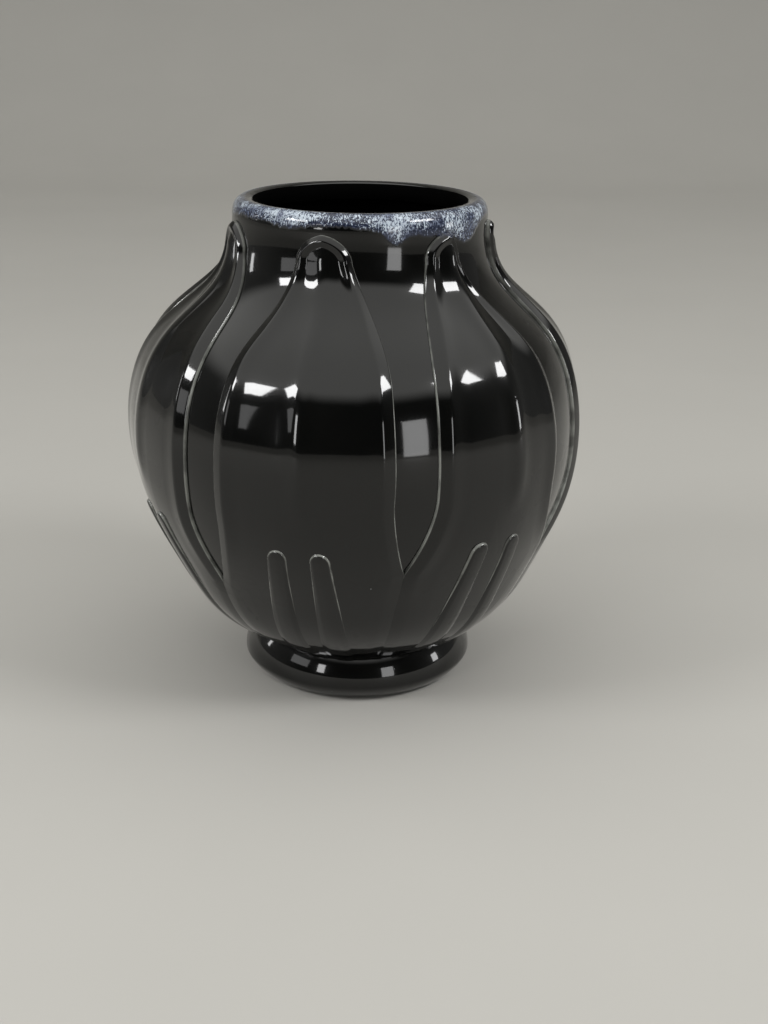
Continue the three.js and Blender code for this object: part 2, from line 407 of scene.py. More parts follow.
@dataclass(frozen=True)
class BlackGlaze:
    """A deep black glaze, slightly wavy, with a few pinholes painted pale, partly as dust and partly as
    painted glints. Its sharp edges are painted paler, partly as a glaze break and partly as a painted
    highlight.
    """

    name: str = "black_glaze"
    deep: Colour = (0.0005, 0.0007, 0.0007, 1)
    thin: Colour = (0.0018, 0.0018, 0.0015, 1)
    roughness: Step = (0.35, 0.7, 0.2, 0.3)
    sheen_level: float = 0.035
    refraction: float = 1.47
    gloss: float = 1.0
    gloss_roughness: float = 0.06
    cloud_size: float = 22
    wave_size: float = 26
    wave_height: float = 0.14
    pinhole_spacing: float = 15
    pinhole_rim: Step = (0.01, 0.02, 1, 0)
    pinhole_share: float = 0.55
    pinhole_depth: float = 0.12
    # Pale colour in the pinholes: partly dust, partly painted glints.
    dust_and_glint: Colour = (0.32, 0.33, 0.34, 1)
    # Pale edge colour: partly a glaze break, partly a painted highlight that also lightens the shaded crevice
    # beside an edge.
    broken_and_highlight: Colour = (0.18, 0.185, 0.17, 1)
    break_and_highlight_patch: float = 9
    break_and_highlight_step: Step = (0.3, 0.6, 0.35, 1)

    def start(self) -> tuple[NodeSheet, object, object, object]:
        """Lays out the black glaze.

        Returns:
            The sheet, and the sockets of its colour, its roughness and its normal.
        """
        sheet = NodeSheet(self.name)
        place = sheet.add("TexCoord").outputs["Object"]
        cloud = sheet.noise(place, 1 / (self.cloud_size * MM), detail=3)
        colour = sheet.mix(cloud, self.deep, self.thin)
        cells = sheet.add("TexVoronoi", Vector=place, Scale=1 / (self.pinhole_spacing * MM))
        hole = sheet.step(cells.outputs["Distance"], *self.pinhole_rim)
        chance = sheet.add("SeparateColor", Color=cells.outputs["Color"]).outputs["Red"]
        hole = sheet.math("MULTIPLY", hole, sheet.math("LESS_THAN", chance, self.pinhole_share))
        # Pinholes painted pale: partly dust, partly painted glints.
        colour = sheet.mix(hole, colour, self.dust_and_glint)
        # Pale edges, partly glaze break and partly painted highlight, over the distance kept in edge_reach.
        breaks_and_highlights = sheet.step(sheet.attribute("edge_reach").outputs["Fac"], 0, EDGE_BREAK_AND_HIGHLIGHT)
        patch = sheet.step(sheet.noise(place, 1 / (self.break_and_highlight_patch * MM)), *self.break_and_highlight_step)
        colour = sheet.mix(sheet.math("MULTIPLY", breaks_and_highlights, patch), colour, self.broken_and_highlight)
        roughness = sheet.step(cloud, *self.roughness)
        normal = sheet.bump(sheet.noise(place, 1 / (self.wave_size * MM), detail=0), self.wave_height)
        normal = sheet.bump(sheet.math("SUBTRACT", 1.0, hole), self.pinhole_depth, normal)
        return sheet, colour, roughness, normal

    def finish(
        self, sheet: NodeSheet, colour: object, roughness: object, normal: object
    ) -> bpy.types.Material:
        """Joins the glaze to its shader and returns the material."""
        settings = {
            "Base Color": colour,
            "Roughness": roughness,
            "Normal": normal,
            "IOR": self.refraction,
            "Specular IOR Level": self.sheen_level,
            "Coat Weight": self.gloss,
            "Coat Roughness": self.gloss_roughness,
            "Coat IOR": self.refraction,
            "Coat Normal": normal,
        }
        for name, value in settings.items():
            sheet.feed(sheet.shader.inputs[name], value)
        return sheet.material

    def build(self) -> bpy.types.Material:
        """Makes the material."""
        return self.finish(*self.start())


@dataclass(frozen=True)
class RunningRimGlaze(BlackGlaze):
    """The black glaze with the rim's blue and white speckled glaze run down over it."""

    name: str = "rim_glaze"
    night: Colour = (0.012, 0.016, 0.032, 1)
    blue: Colour = (0.09, 0.11, 0.175, 1)
    white: Colour = (0.42, 0.48, 0.54, 1)
    fleck_width: float = 0.7
    fleck_length: float = 1.3
    speck_width: float = 0.45
    speck_length: float = 0.65
    rag_width: float = 2.4
    rag_length: float = 9
    cloud_width: float = 9
    ragged: float = 2.2
    edge_soft: float = 1.6
    body_share: float = 0.1
    cloud_step: Step = (0.3, 0.7, -0.05, 0.03)
    edge_step: Step = (0, 5, -0.09, 0.02)
    fleck_step: Step = (0.57, 0.63)
    speck_step: Step = (0.59, 0.65)
    tint_step: Step = (0.3, 0.6)
    ground_step: Step = (0.47, 0.62)
    glaze_height: float = 0.25
    fleck_height: float = 0.04

    def flecks(
        self, sheet: NodeSheet, flow: object, width: float, length: float
    ) -> bpy.types.NodeSocket:
        """Noise drawn out along the lines of flow.

        Args:
            sheet: The material's nodes.
            flow: The socket of the flow's place, in millimetres.
            width: Width of a fleck.
            length: Length of a fleck.

        Returns:
            The noise socket.
        """
        place = sheet.add("Mapping", Vector=flow)
        place.inputs["Scale"].default_value = (1 / width, 1 / width, 1 / length)
        return sheet.noise(place.outputs[0], 1.0)

    def build(self) -> bpy.types.Material:
        """Makes the material."""
        sheet, colour, roughness, normal = self.start()
        place = sheet.attribute("flow").outputs["Vector"]
        depth = sheet.attribute("rim_cover").outputs["Fac"]
        body = sheet.attribute("rim_body").outputs["Fac"]
        cloud = sheet.noise(place, 1 / self.cloud_width)
        ragged = sheet.math("SUBTRACT", self.flecks(sheet, place, self.rag_width, self.rag_length), 0.5)
        reach = sheet.math("ADD", depth, sheet.math("MULTIPLY", ragged, self.ragged))
        mask = sheet.step(reach, 0, self.edge_soft)
        thick = sheet.math("MULTIPLY", body, self.body_share)
        thick = sheet.math("ADD", thick, sheet.step(cloud, *self.cloud_step))
        thick = sheet.math("ADD", thick, sheet.step(reach, *self.edge_step))
        fleck = sheet.math("ADD", self.flecks(sheet, place, self.fleck_width, self.fleck_length), thick)
        speck = sheet.math("ADD", self.flecks(sheet, place, self.speck_width, self.speck_length), thick)
        pale = sheet.math("MAXIMUM", sheet.step(fleck, *self.fleck_step), sheet.step(speck, *self.speck_step))
        pale = sheet.math("MULTIPLY", pale, mask)
        tint = sheet.mix(sheet.step(cloud, *self.tint_step), self.blue, self.white)
        ground = sheet.mix(sheet.step(fleck, *self.ground_step), self.night, self.blue)
        colour = sheet.mix(pale, sheet.mix(mask, colour, ground), tint)
        relief = sheet.math("MULTIPLY", mask, self.glaze_height)
        relief = sheet.math("ADD", relief, sheet.math("MULTIPLY", pale, self.fleck_height))
        return self.finish(sheet, colour, roughness, sheet.bump(relief, 1.0, normal))


@dataclass(frozen=True)
class ShadedInnerGlaze(BlackGlaze):
    """A dull, darker copy of the black glaze for the inside of the pot: painted shade, standing in for the
    shade inside it.
    """

    name: str = "shaded_inner_glaze"
    deep: Colour = (0.0004, 0.0004, 0.0004, 1)
    thin: Colour = (0.001, 0.001, 0.001, 1)
    roughness: Step = (0.35, 0.7, 0.55, 0.7)
    sheen_level: float = 0.004
    gloss: float = 0.0


@dataclass(frozen=True)
class BareClay:
    """The unglazed buff clay that the pot stands on."""

    name: str = "bare_clay"
    light: Colour = (0.50, 0.40, 0.29, 1)
    dark: Colour = (0.34, 0.26, 0.18, 1)
    roughness: float = 0.9
    grain_size: float = 0.8
    grain_height: float = 0.06

    def build(self) -> bpy.types.Material:
        """Makes the material."""
        sheet = NodeSheet(self.name)
        place = sheet.add("TexCoord").outputs["Object"]
        grain = sheet.noise(place, 1 / (self.grain_size * MM), detail=4)
        sheet.feed(sheet.shader.inputs["Base Color"], sheet.mix(grain, self.dark, self.light))
        sheet.feed(sheet.shader.inputs["Normal"], sheet.bump(grain, self.grain_height))
        sheet.shader.inputs["Roughness"].default_value = self.roughness
        return sheet.material


@dataclass(frozen=True)
class Finishes:
    """The materials that the pieces share."""

    black: bpy.types.Material
    rim: bpy.types.Material
    inner: bpy.types.Material
    clay: bpy.types.Material


def start_clean() -> None:
    """Deselects everything, so that an operator acts on the new piece alone."""
    bpy.ops.object.select_all(action="DESELECT")


def close_shape() -> None:
    """Joins doubled points and turns the faces outwards, then leaves edit mode."""
    bpy.ops.mesh.select_all(action="SELECT")
    bpy.ops.mesh.remove_doubles(threshold=MERGE_DISTANCE * MM)
    bpy.ops.mesh.normals_make_consistent(inside=False)
    bpy.ops.object.mode_set(mode="OBJECT")


def dress(
    piece: bpy.types.Object, node: str, materials: list[bpy.types.Material], sharp: float
) -> None:
    """Gives a finished piece its shading, its materials and its place in the frame.

    Args:
        piece: The piece.
        node: The CAD node that it replaces.
        materials: Its materials, in the order of its faces' numbers.
        sharp: Angle above which an edge stays sharp.
    """
    bpy.ops.object.shade_smooth_by_angle(angle=math.radians(sharp))
    for material in materials:
        piece.data.materials.append(material)
    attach(piece, BODY)
    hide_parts(node)
    log.info("%s: %d faces", piece.name, len(piece.data.polygons))


@dataclass
class TurnedPiece(ABC):
    """A piece with a round section, thrown or rolled, that follows the pot's lean."""

    form: PotForm
    node: str = ""
    turn_steps: int = 256
    sharp: float = 60

    @abstractmethod
    def section(self) -> list[Pair]:
        """Radius and height of each point of the section."""

    def spin(self) -> bpy.types.Object:
        """Turns the section round the pot's middle.

        Returns:
            The closed piece.
        """
        points = [Vector((radius, 0, height)) * MM for radius, height in self.section()]
        start_clean()
        bpy.ops.mesh.primitive_plane_add(size=MM, location=(0, 0, 0))
        piece = bpy.context.object
        piece.name = piece.data.name = self.node + "_glazed"
        bpy.ops.object.mode_set(mode="EDIT")
        bpy.ops.mesh.select_all(action="SELECT")
        bpy.ops.mesh.merge(type="CENTER")
        bpy.ops.transform.translate(value=points[0])
        for last, point in zip(points, points[1:]):
            bpy.ops.mesh.extrude_region_move(TRANSFORM_OT_translate={"value": point - last})
        bpy.ops.mesh.select_all(action="SELECT")
        bpy.ops.mesh.spin(steps=self.turn_steps, angle=math.tau, center=(0, 0, 0), axis=(0, 0, 1))
        close_shape()
        for vertex in piece.data.vertices:
            vertex.co.x += self.form.lean(vertex.co.z / MM) * MM
        return piece


def curve(corners: list[Pair], steps: int) -> list[Pair]:
    """Points of a curve drawn between four corners, without its first.

    Args:
        corners: The curve's start, two handles and end, as radius and height.
        steps: Number of points.

    Returns:
        The points.
    """
    points = []
    for i in range(1, steps + 1):
        t = i / steps
        weights = ((1 - t) ** 3, 3 * t * (1 - t) ** 2, 3 * t * t * (1 - t), t**3)
        points.append(tuple(sum(w * corner[axis] for w, corner in zip(weights, corners)) for axis in (0, 1)))
    return points


@dataclass
class FootRing(TurnedPiece):
    """The fat ring that the pot stands on, with a wiped resting face of bare clay."""

    node: str = "foot_ring"
    rest_radius: float = 46.3
    bore_radius: float = 39
    bore_chamfer: float = 2
    bulge_radius: float = 55.6
    bulge_height: float = 9
    heel_out: float = 0.5
    heel_up: float = 0.12
    side_up: float = 0.75
    shoulder_up: float = 0.33
    seat_out: float = 0.62
    seat_down: float = 0.3
    wiped_height: float = 0.2
    heel_steps: int = 28
    shoulder_steps: int = 20
    bore_steps: int = 12

    def section(self) -> list[Pair]:
        """Radius and height of each point of the section."""
        top = self.form.foot_height
        full = self.bulge_radius
        bulge = (full, self.bulge_height)
        heel = (self.rest_radius, 0.0)
        heel_handle = (blend(self.rest_radius, full, self.heel_out), self.heel_up * self.bulge_height)
        side_handle = (full, self.side_up * self.bulge_height)
        shoulder = (full, blend(self.bulge_height, top, self.shoulder_up))
        seat = (self.form.seat_radius, top)
        seat_handle = (
            blend(self.form.seat_radius, full, self.seat_out),
            blend(top, self.bulge_height, self.seat_down),
        )
        inner = self.bore_radius + self.bore_chamfer
        bore_top = (self.bore_radius, top)
        bore_handle = (self.bore_radius, self.bore_chamfer)
        return [
            (inner, 0.0),
            (blend(inner, self.rest_radius, 0.5), 0.0),
            heel,
            *curve([heel, heel_handle, side_handle, bulge], self.heel_steps),
            *curve([bulge, shoulder, seat_handle, seat], self.shoulder_steps),
            bore_top,
            *curve([bore_top, bore_handle, (self.bore_radius, 0.0), (inner, 0.0)], self.bore_steps),
        ]

    def build(self, finishes: Finishes) -> bpy.types.Object:
        """Makes the foot ring."""
        piece = self.spin()
        dress(piece, self.node, [finishes.black, finishes.clay], self.sharp)
        for face in piece.data.polygons:
            if face.center.z < self.wiped_height * MM:
                face.material_index = 1
        return piece


@dataclass
class BodyWall(TurnedPiece):
    """The hollow bellied body with its floor and neck."""

    node: str = "body_wall"
    wall: float = 5.5
    floor: float = 8
    neck_wall: float = 8.5
    corner_rise: float = 6
    outer_step: float = 1.2
    inner_step: float = 3
    throat_steps: int = 8
    corner_steps: int = 6
    neck_down: float = 0.4
    corner_in: float = 0.6
    corner_down: float = 0.7
    sharp: float = 50

    def section(self) -> list[Pair]:
        """Radius and height of each point of the section."""
        form = self.form
        count = round(form.neck.rise / self.outer_step)
        outside = [form.neck.rise * i / count for i in range(count + 1)]
        low = self.floor + self.corner_rise
        count = round((form.throat_rise - low) / self.inner_step)
        inside = []
        for i in range(count + 1):
            rise = blend(form.throat_rise, low, i / count)
            out, up = form.normal(rise)
            inside.append((form.radius(rise) - self.wall * out, form.foot_height + rise - self.wall * up))
        neck_inner = (form.neck.radius - self.neck_wall, form.foot_height + form.neck.rise)
        neck_handle = (neck_inner[0], blend(neck_inner[1], inside[0][1], self.neck_down))
        corner = inside[-1]
        floor_height = form.foot_height + self.floor
        floor_edge = (corner[0] - self.corner_rise, floor_height)
        bend = (blend(floor_edge[0], corner[0], 0.5), floor_height)
        corner_handle = (
            blend(corner[0], bend[0], self.corner_in),
            blend(corner[1], floor_height, self.corner_down),
        )
        return [
            (0.0, form.foot_height),
            (form.seat_radius - self.wall, form.foot_height),
            *((form.radius(rise), form.foot_height + rise) for rise in outside),
            neck_inner,
            *curve([neck_inner, neck_handle, inside[0], inside[0]], self.throat_steps),
            *inside[1:],
            *curve([corner, corner_handle, bend, floor_edge], self.corner_steps),
            (0.0, floor_height),
        ]

    def build(self, finishes: Finishes, flow: RimFlow) -> bpy.types.Object:
        """Makes the body wall."""
        piece = self.spin()
        flow.mark(piece)
        dress(piece, self.node, [finishes.rim, finishes.inner], self.sharp)
        for face in piece.data.polygons:
            x, y, height = face.center / MM
            rise = height - self.form.foot_height
            inside = math.hypot(x, y) < self.form.radius(rise) - self.wall / 2
            # Faces inside the pot take the inner glaze, a dull darker copy of the black glaze that stands in
            # for shade.
            face.material_index = int(inside and rise > self.floor / 2)
        return piece


@dataclass
class RimRoll(TurnedPiece):
    """The thick rolled lip, which runs smoothly into the neck outside and overhangs inside."""

    node: str = "rim_roll"
    coil_radius: float = 6.3
    height: float = 8
    proud: float = 0.4
    fullness: float = 2.4
    # How far below the crest the lip's inside turns to the painted-shade inner glaze, in millimetres.
    shaded_below: float = 1.1
    quarter_steps: int = 20

    def section(self) -> list[Pair]:
        """Radius and height of each point of the section."""
        form = self.form
        seat = form.foot_height + form.neck.rise
        middle = form.neck.radius + self.proud - self.coil_radius
        reach = form.neck.radius - middle
        outer = []
        for i in range(self.quarter_steps + 1):
            turn = math.pi / 2 * i / self.quarter_steps
            out = math.cos(turn) ** (2 / self.fullness) if i < self.quarter_steps else 0.0
            up = math.sin(turn) ** (2 / self.fullness)
            outer.append((middle + reach * out, seat + self.height * up))
        core = seat + self.height - self.coil_radius
        tuck = math.asin((self.height - self.coil_radius) / self.coil_radius)
        inner = []
        for i in range(1, self.quarter_steps + 1):
            turn = blend(math.pi / 2, math.pi + tuck, i / self.quarter_steps)
            radius = middle + self.coil_radius * math.cos(turn)
            inner.append((radius, core + self.coil_radius * math.sin(turn)))
        return [*outer, *inner, outer[0]]

    def build(self, finishes: Finishes, flow: RimFlow) -> bpy.types.Object:
        """Makes the rim."""
        piece = self.spin()
        flow.mark(piece)
        dress(piece, self.node, [finishes.rim, finishes.inner], self.sharp)
        core = self.form.neck.radius + self.proud - self.coil_radius
        top = self.form.foot_height + self.form.neck.rise + self.height - self.shaded_below
        for face in piece.data.polygons:
            x, y, height = face.center / MM
            # The lip's inside below that takes the inner glaze, a dull darker copy of the black glaze that
            # stands in for shade.
            face.material_index = int(math.hypot(x, y) < core and height < top)
        return piece


@dataclass(frozen=True)
class Knot:
    """One point of a laid piece's section: its distance in from the edge, its lift and how
    far from it the rounding of its corner begins."""

    inward: float
    lift: float
    rounding: float = 0


def rounded(last: Knot, knot: Knot, following: Knot, steps: int) -> list[Knot]:
    """Points that round one corner of a section.

    Args:
        last: The point before the corner.
        knot: The corner.
        following: The point after the corner.
        steps: Number of points, less one.

    Returns:
        The points, the first and the last of them on the straight parts.
    """
    ends = []
    for other in (last, following):
        length = math.hypot(other.inward - knot.inward, other.lift - knot.lift)
        share = min(knot.rounding / length, CORNER_LIMIT) if length > 0 else 0.0
        ends.append(Knot(blend(knot.inward, other.inward, share), blend(knot.lift, other.lift, share)))
    points = []
    for i in range(steps + 1):
        t = i / steps
        weights = ((1 - t) ** 2, 2 * t * (1 - t), t * t)
        corners = (ends[0], knot, ends[1])
        inward = sum(weight * corner.inward for weight, corner in zip(weights, corners))
        lift = sum(weight * corner.lift for weight, corner in zip(weights, corners))
        points.append(Knot(inward, lift))
    return points


@dataclass
class LaidPiece(ABC):
    """A piece of clay laid on the wall: two halves that meet on its middle line, with a round tip.

    It is made from two flat sheets, a face and a back, that are bent on to the wall. The
    sheets' top edge folds in half at the tip, so that the edge runs on round it.
    """

    form: PotForm
    index: int
    bottom: float = 0
    top: float = 0
    arch: float = 0
    sunk: float = -0.6
    row_step: float = 1.25
    arch_rows: int = 20
    corner_steps: int = 6
    corner_count: int = 0
    tip_middle: float = 0.9
    tip_point: float = 1
    foot_fades: Span = (-1, 3)
    edge_width: float = 0.3
    sharp: float = 55

    @property
    @abstractmethod
    def node(self) -> str:
        """The CAD node that the piece stands for."""

    @abstractmethod
    def angle(self, rise: float) -> float:
        """Angle of the piece's middle line at a rise."""

    @abstractmethod
    def half_width(self, side: Side, rise: float) -> float:
        """Width from the middle line to one edge, along the wall."""

    @abstractmethod
    def edge_show(self, side: Side, rise: float) -> float:
        """How strongly the edge is painted pale, as a glaze break and a painted highlight, from 0 to 1."""

    @abstractmethod
    def knots(self, side: Side, width: float, rise: float) -> list[Knot]:
        """The section of one half, from its edge to the middle line."""

    def rows(self, side: Side) -> list[Pair]:
        """Rise and half width of each row of one side, from the bottom to the tip."""
        arch_rise = self.top - self.arch
        count = round((arch_rise - self.bottom) / self.row_step)
        rises = [self.bottom, *(blend(self.bottom, arch_rise, i / count) for i in range(count + 1))]
        rows = [(rise, self.half_width(side, rise)) for rise in rises]
        full = self.half_width(side, arch_rise)
        for i in range(1, self.arch_rows + 1):
            turn = math.pi / 2 * i / self.arch_rows
            width = full * math.cos(turn) ** self.tip_point if i < self.arch_rows else 0.0
            rows.append((arch_rise + self.arch * math.sin(turn), width))
        return rows

    @property
    def half_columns(self) -> int:
        """Number of spans from a half's sunk edge to its middle line."""
        return self.corner_count * (self.corner_steps + 1) + 1 + self.corner_steps // 2

    def columns(self, side: Side, width: float, rise: float) -> list[Knot]:
        """The section's points: the sunk edge, then straight parts with rounded corners.

        Args:
            side: The half that they lie on.
            width: Length of the section, from the edge to the middle line.
            rise: Height above the foot ring.

        Returns:
            The points, the last of them on the middle line.
        """
        knots = self.knots(side, width, rise)
        fade = ease(rise - self.bottom, *self.foot_fades)
        knots = [Knot(knot.inward, knot.lift * fade, knot.rounding) for knot in knots]
        sunk = Knot(0.0, self.sunk)
        beyond = Knot(2 * width - knots[-2].inward, knots[-2].lift)
        points = [sunk]
        for last, knot, following in zip([sunk, *knots], knots, [*knots[1:], beyond]):
            points += rounded(last, knot, following, self.corner_steps)
        return points[: self.half_columns + 1]

    def place(self, side: Side, row: Pair, knot: Knot, reach: float, lift: float) -> Vector:
        """A point of the piece, in metres.

        Args:
            side: The half that it lies on.
            row: Rise and half width of its row.
            knot: Its place in the section.
            reach: Length of the row, from the edge to the middle line.
            lift: Distance out from the wall.

        Returns:
            The point.
        """
        rise, width = row
        share = knot.inward / reach if reach > 0 else 1.0
        low = min(rise, self.top - self.tip_middle * self.arch)
        rise = blend(rise, low, share)
        offset = side.value * width * (1 - share)
        return self.form.on_wall(self.angle(rise) + math.degrees(offset / self.form.radius(rise)), rise, lift)

    def sheets(self) -> bpy.types.Object:
        """Adds the two flat sheets, the back one below the face one."""
        across = 2 * self.half_columns
        along = len(self.rows(Side.LEFT)) - 1
        start_clean()
        bpy.ops.mesh.primitive_grid_add(x_subdivisions=across, y_subdivisions=along, size=1)
        piece = bpy.context.object
        piece.name = piece.data.name = self.node + "_glazed"
        bpy.ops.object.mode_set(mode="EDIT")
        bpy.ops.mesh.select_all(action="SELECT")
        bpy.ops.mesh.duplicate_move(TRANSFORM_OT_translate={"value": (0, 0, -1)})
        bpy.ops.mesh.flip_normals()
        bpy.ops.object.mode_set(mode="OBJECT")
        return piece

    def lay(self) -> bpy.types.Object:
        """Bends the sheets on to the wall and joins their edges.

        Returns:
            The closed piece.
        """
        piece = self.sheets()
        half = self.half_columns
        rows = {side: self.rows(side) for side in Side}
        along = len(rows[Side.LEFT]) - 1
        middle_top = self.top - self.tip_middle * self.arch
        points = {}
        shows = {}
        for side in Side:
            for j, row in enumerate(rows[side]):
                reach = math.hypot(row[1], max(row[0] - middle_top, 0.0))
                show = self.edge_show(side, row[0])
                for i, knot in enumerate(self.columns(side, reach, row[0])):
                    lift = self.sunk if j == 0 else knot.lift
                    # How far the pale edge, partly glaze break and partly painted highlight, reaches in from
                    # the edge.
                    shows[side, i, j] = (EDGE_BREAK_AND_HIGHLIGHT + self.edge_width) * show - knot.inward
                    points[side, i, j, True] = self.place(side, row, knot, reach, lift)
                    points[side, i, j, False] = self.place(side, row, knot, reach, self.sunk)
        piece.data.attributes.new("edge_reach", "FLOAT", "POINT")
        edge_reach = piece.data.attributes["edge_reach"].data
        for vertex in piece.data.vertices:
            i = round((vertex.co.x + 0.5) * 2 * half)
            j = round((vertex.co.y + 0.5) * along)
            side = Side.LEFT if i < half else Side.RIGHT
            column = min(i, 2 * half - i)
            edge_reach[vertex.index].value = shows[side, column, j]
            vertex.co = points[side, column, j, vertex.co.z > -0.5]
        bpy.ops.object.mode_set(mode="EDIT")
        close_shape()
        return piece


@dataclass
class Leaf(LaidPiece):
    """A tall leaf with a rolled edge, a channel inside it and a soft midrib."""

    count: int = 7
    first_angle: float = -12.6
    shifts: tuple[float, ...] = (0, 3.8, 3.2, 3, 0.5, -1.2, -2.2)
    foot_twist: float = 5.4
    twist_ends: float = 110
    tip_leans: tuple[float, ...] = (-2.9, -2.5, -12, 3, -2, 2, -5.2)
    tips_lean_from: float = 160
    bottom: float = 0.4
    top: float = 197.2
    arch: float = 12
    tip_point: float = 1.25
    # Gaps are counted by the leaf before them, and each opens from a seam at its own rise.
    belly_gaps: tuple[float, ...] = (18.5, 30, 18, 20, 17, 19, 17)
    gaps_open: tuple[float, ...] = (58, 55, 50, 56, 52, 57, 43)
    gap_opens_over: float = 35
    gap_power: float = 1.6
    neck_growth: float = 19
    gap_widens: Span = (142, 209)
    seam_lift: float = 2.1
    seam_rounding: float = 0.05
    seam_ends: Span = (-8, 6)
    # The pale edge, glaze break and painted highlight, is weaker towards the tip.
    tip_break_and_highlight: float = 0.45
    break_and_highlight_fades: Span = (110, 175)
    edge_lift: float = 1.2
    edge_rounding: float = 0.8
    crest_lift: float = 3.3
    crest_inward: float = 5.5
    crest_share: float = 0.2
    crest_rounding: float = 1.1
    channel_lift: float = 2.2
    channel_inward: float = 12
    channel_share: float = 0.45
    panel_lift: float = 2.5
    panel_rounding: float = 4
    rib_foot_lift: float = 2.4
    rib_lift: float = 3.8
    rib_half_width: float = 6.5
    rib_share: float = 0.5
    rib_rounding: float = 3
    rib_fades: Span = (78, 100)
    crest_fades: Span = (40, 74)
    corner_count: int = 4

    @property
    def node(self) -> str:
        """The CAD node that the piece stands for."""
        return f"leaf_{self.index + 1}"

    def before(self, side: Side) -> int:
        """Number of the gap on a side, counted by the leaf that stands before it."""
        return self.index if side is Side.RIGHT else self.index - 1

    def gap(self, side: Side, rise: float) -> float:
        """Bare gap between the leaf and the next one on a side, along the wall."""
        before = self.before(side)
        opened = min(max((rise - self.gaps_open[before]) / self.gap_opens_over, 0.0), 1.0)
        width = blend(self.belly_gaps[before], 0, (1 - opened) ** self.gap_power)
        return width + self.neck_growth * ease(rise, *self.gap_widens)

    def setting(self, index: int) -> float:
        """Angle of a leaf's middle at the belly."""
        return self.first_angle + 360 * index / self.count + self.shifts[index % self.count]

    def angle(self, rise: float) -> float:
        """Angle of the leaf's middle line at a rise."""
        twist = self.foot_twist * (ease(rise, 0, self.twist_ends) - 1)
        lean = ease(rise, self.tips_lean_from, self.form.neck.rise) * self.tip_leans[self.index]
        return self.setting(self.index) + twist + lean

    def half_width(self, side: Side, rise: float) -> float:
        """Width from the middle line to one edge, along the wall."""
        step = side.value
        spacing = step * (self.setting(self.index + step) - self.setting(self.index))
        return math.radians(spacing) / 2 * self.form.radius(rise) - self.gap(side, rise) / 2

    def free(self, side: Side, rise: float) -> float:
        """How far the edge stands free of the next leaf: 0 along a seam, 1 along an open gap."""
        return ease(rise - self.gaps_open[self.before(side)], *self.seam_ends)

    def edge_show(self, side: Side, rise: float) -> float:
        """How strongly the edge is painted pale, as a glaze break and a painted highlight: less towards the
        tip, not along a seam.
        """
        return self.free(side, rise) * blend(1, self.tip_break_and_highlight, ease(rise, *self.break_and_highlight_fades))

    def knots(self, side: Side, width: float, rise: float) -> list[Knot]:
        """The section of one half, from its edge to the middle line."""
        free = self.free(side, rise)
        relief = ease(rise, *self.crest_fades)
        rib = ease(rise, *self.rib_fades)
        crest = min(self.crest_inward, self.crest_share * width)
        channel = min(self.channel_inward, self.channel_share * width)
        rib_foot = width - min(self.rib_half_width, self.rib_share * width)
        edge_rounding = blend(self.seam_rounding, self.edge_rounding, free)
        return [
            Knot(0.0, blend(self.seam_lift, self.edge_lift, free), edge_rounding),
            Knot(crest, blend(self.panel_lift, self.crest_lift, relief), self.crest_rounding),
            Knot(channel, blend(self.panel_lift, self.channel_lift, relief), self.panel_rounding),
            Knot(rib_foot, blend(self.panel_lift, self.rib_foot_lift, rib), self.panel_rounding),
            Knot(width, blend(self.panel_lift, self.rib_lift, rib), self.rib_rounding),
        ]

    def build(self, finishes: Finishes, flow: RimFlow) -> bpy.types.Object:
        """Makes the leaf."""
        piece = self.lay()
        flow.mark(piece)
        dress(piece, self.node, [finishes.rim], self.sharp)
        return piece


@dataclass
class Shoot(LaidPiece):
    """A slender shoot on the lower part of a leaf, which spreads and swells towards the foot."""

    leaf: Leaf | None = None
    side: Side = Side.LEFT
    bottom: float = 1
    top: float = 70
    arch: float = 5
    asides: tuple[float, ...] = (0, -2.6, -1, 1, 0, -0.5, 0)
    top_spread: float = 5.3
    bottom_spread: float = 8.5
    foot_drift: float = 2.5
    top_half_width: float = 4.2
    bottom_half_width: float = 7
    seat_lift: float = 2.4
    top_lift: float = 1.5
    bottom_lift: float = 0.9
    flank_lift: float = 0.8
    top_flank: float = 0.7
    bottom_flank: float = 4
    flank_share: float = 0.45
    flank_rounding: float = 0.8
    crown_rounding: float = 2
    break_and_highlight_fades: Span = (0.1, 0.8)
    arch_rows: int = 14
    corner_count: int = 2

    @property
    def node(self) -> str:
        """The CAD node that the piece stands for."""
        return f"shoot_{self.index + 1}_{self.side.name.lower()}"

    def share(self, rise: float) -> float:
        """How far up the shoot a rise is."""
        return (rise - self.bottom) / (self.top - self.bottom)

    def angle(self, rise: float) -> float:
        """Angle of the shoot's middle line at a rise."""
        spread = blend(self.bottom_spread, self.top_spread, self.share(rise))
        drift = blend(self.foot_drift, 0, self.share(rise))
        return self.leaf.angle(rise) + self.asides[self.index] + self.side.value * spread + drift

    def half_width(self, side: Side, rise: float) -> float:
        """Width from the middle line to one edge, along the wall."""
        return blend(self.bottom_half_width, self.top_half_width, self.share(rise))

    def edge_show(self, side: Side, rise: float) -> float:
        """How strongly the edge is painted pale, as a glaze break and a painted highlight: less towards the
        foot.
        """
        return ease(self.share(rise), *self.break_and_highlight_fades)

    def knots(self, side: Side, width: float, rise: float) -> list[Knot]:
        """The section of one half, from its edge to the middle line."""
        lift = blend(self.bottom_lift, self.top_lift, self.share(rise))
        flank = min(blend(self.bottom_flank, self.top_flank, self.share(rise)), self.flank_share * width)
        return [
            Knot(0.0, self.seat_lift),
            Knot(flank, self.seat_lift + self.flank_lift * lift, self.flank_rounding),
            Knot(width, self.seat_lift + lift, self.crown_rounding),
        ]

    def build(self, finishes: Finishes) -> bpy.types.Object:
        """Makes the shoot."""
        piece = self.lay()
        dress(piece, self.node, [finishes.black], self.sharp)
        return piece


@dataclass(frozen=True)
class Softbox:
    """One soft lamp, placed by the direction that it shines from."""

    name: str
    angle: float
    elevation: float
    distance: float
    width: float
    height: float
    glow: float


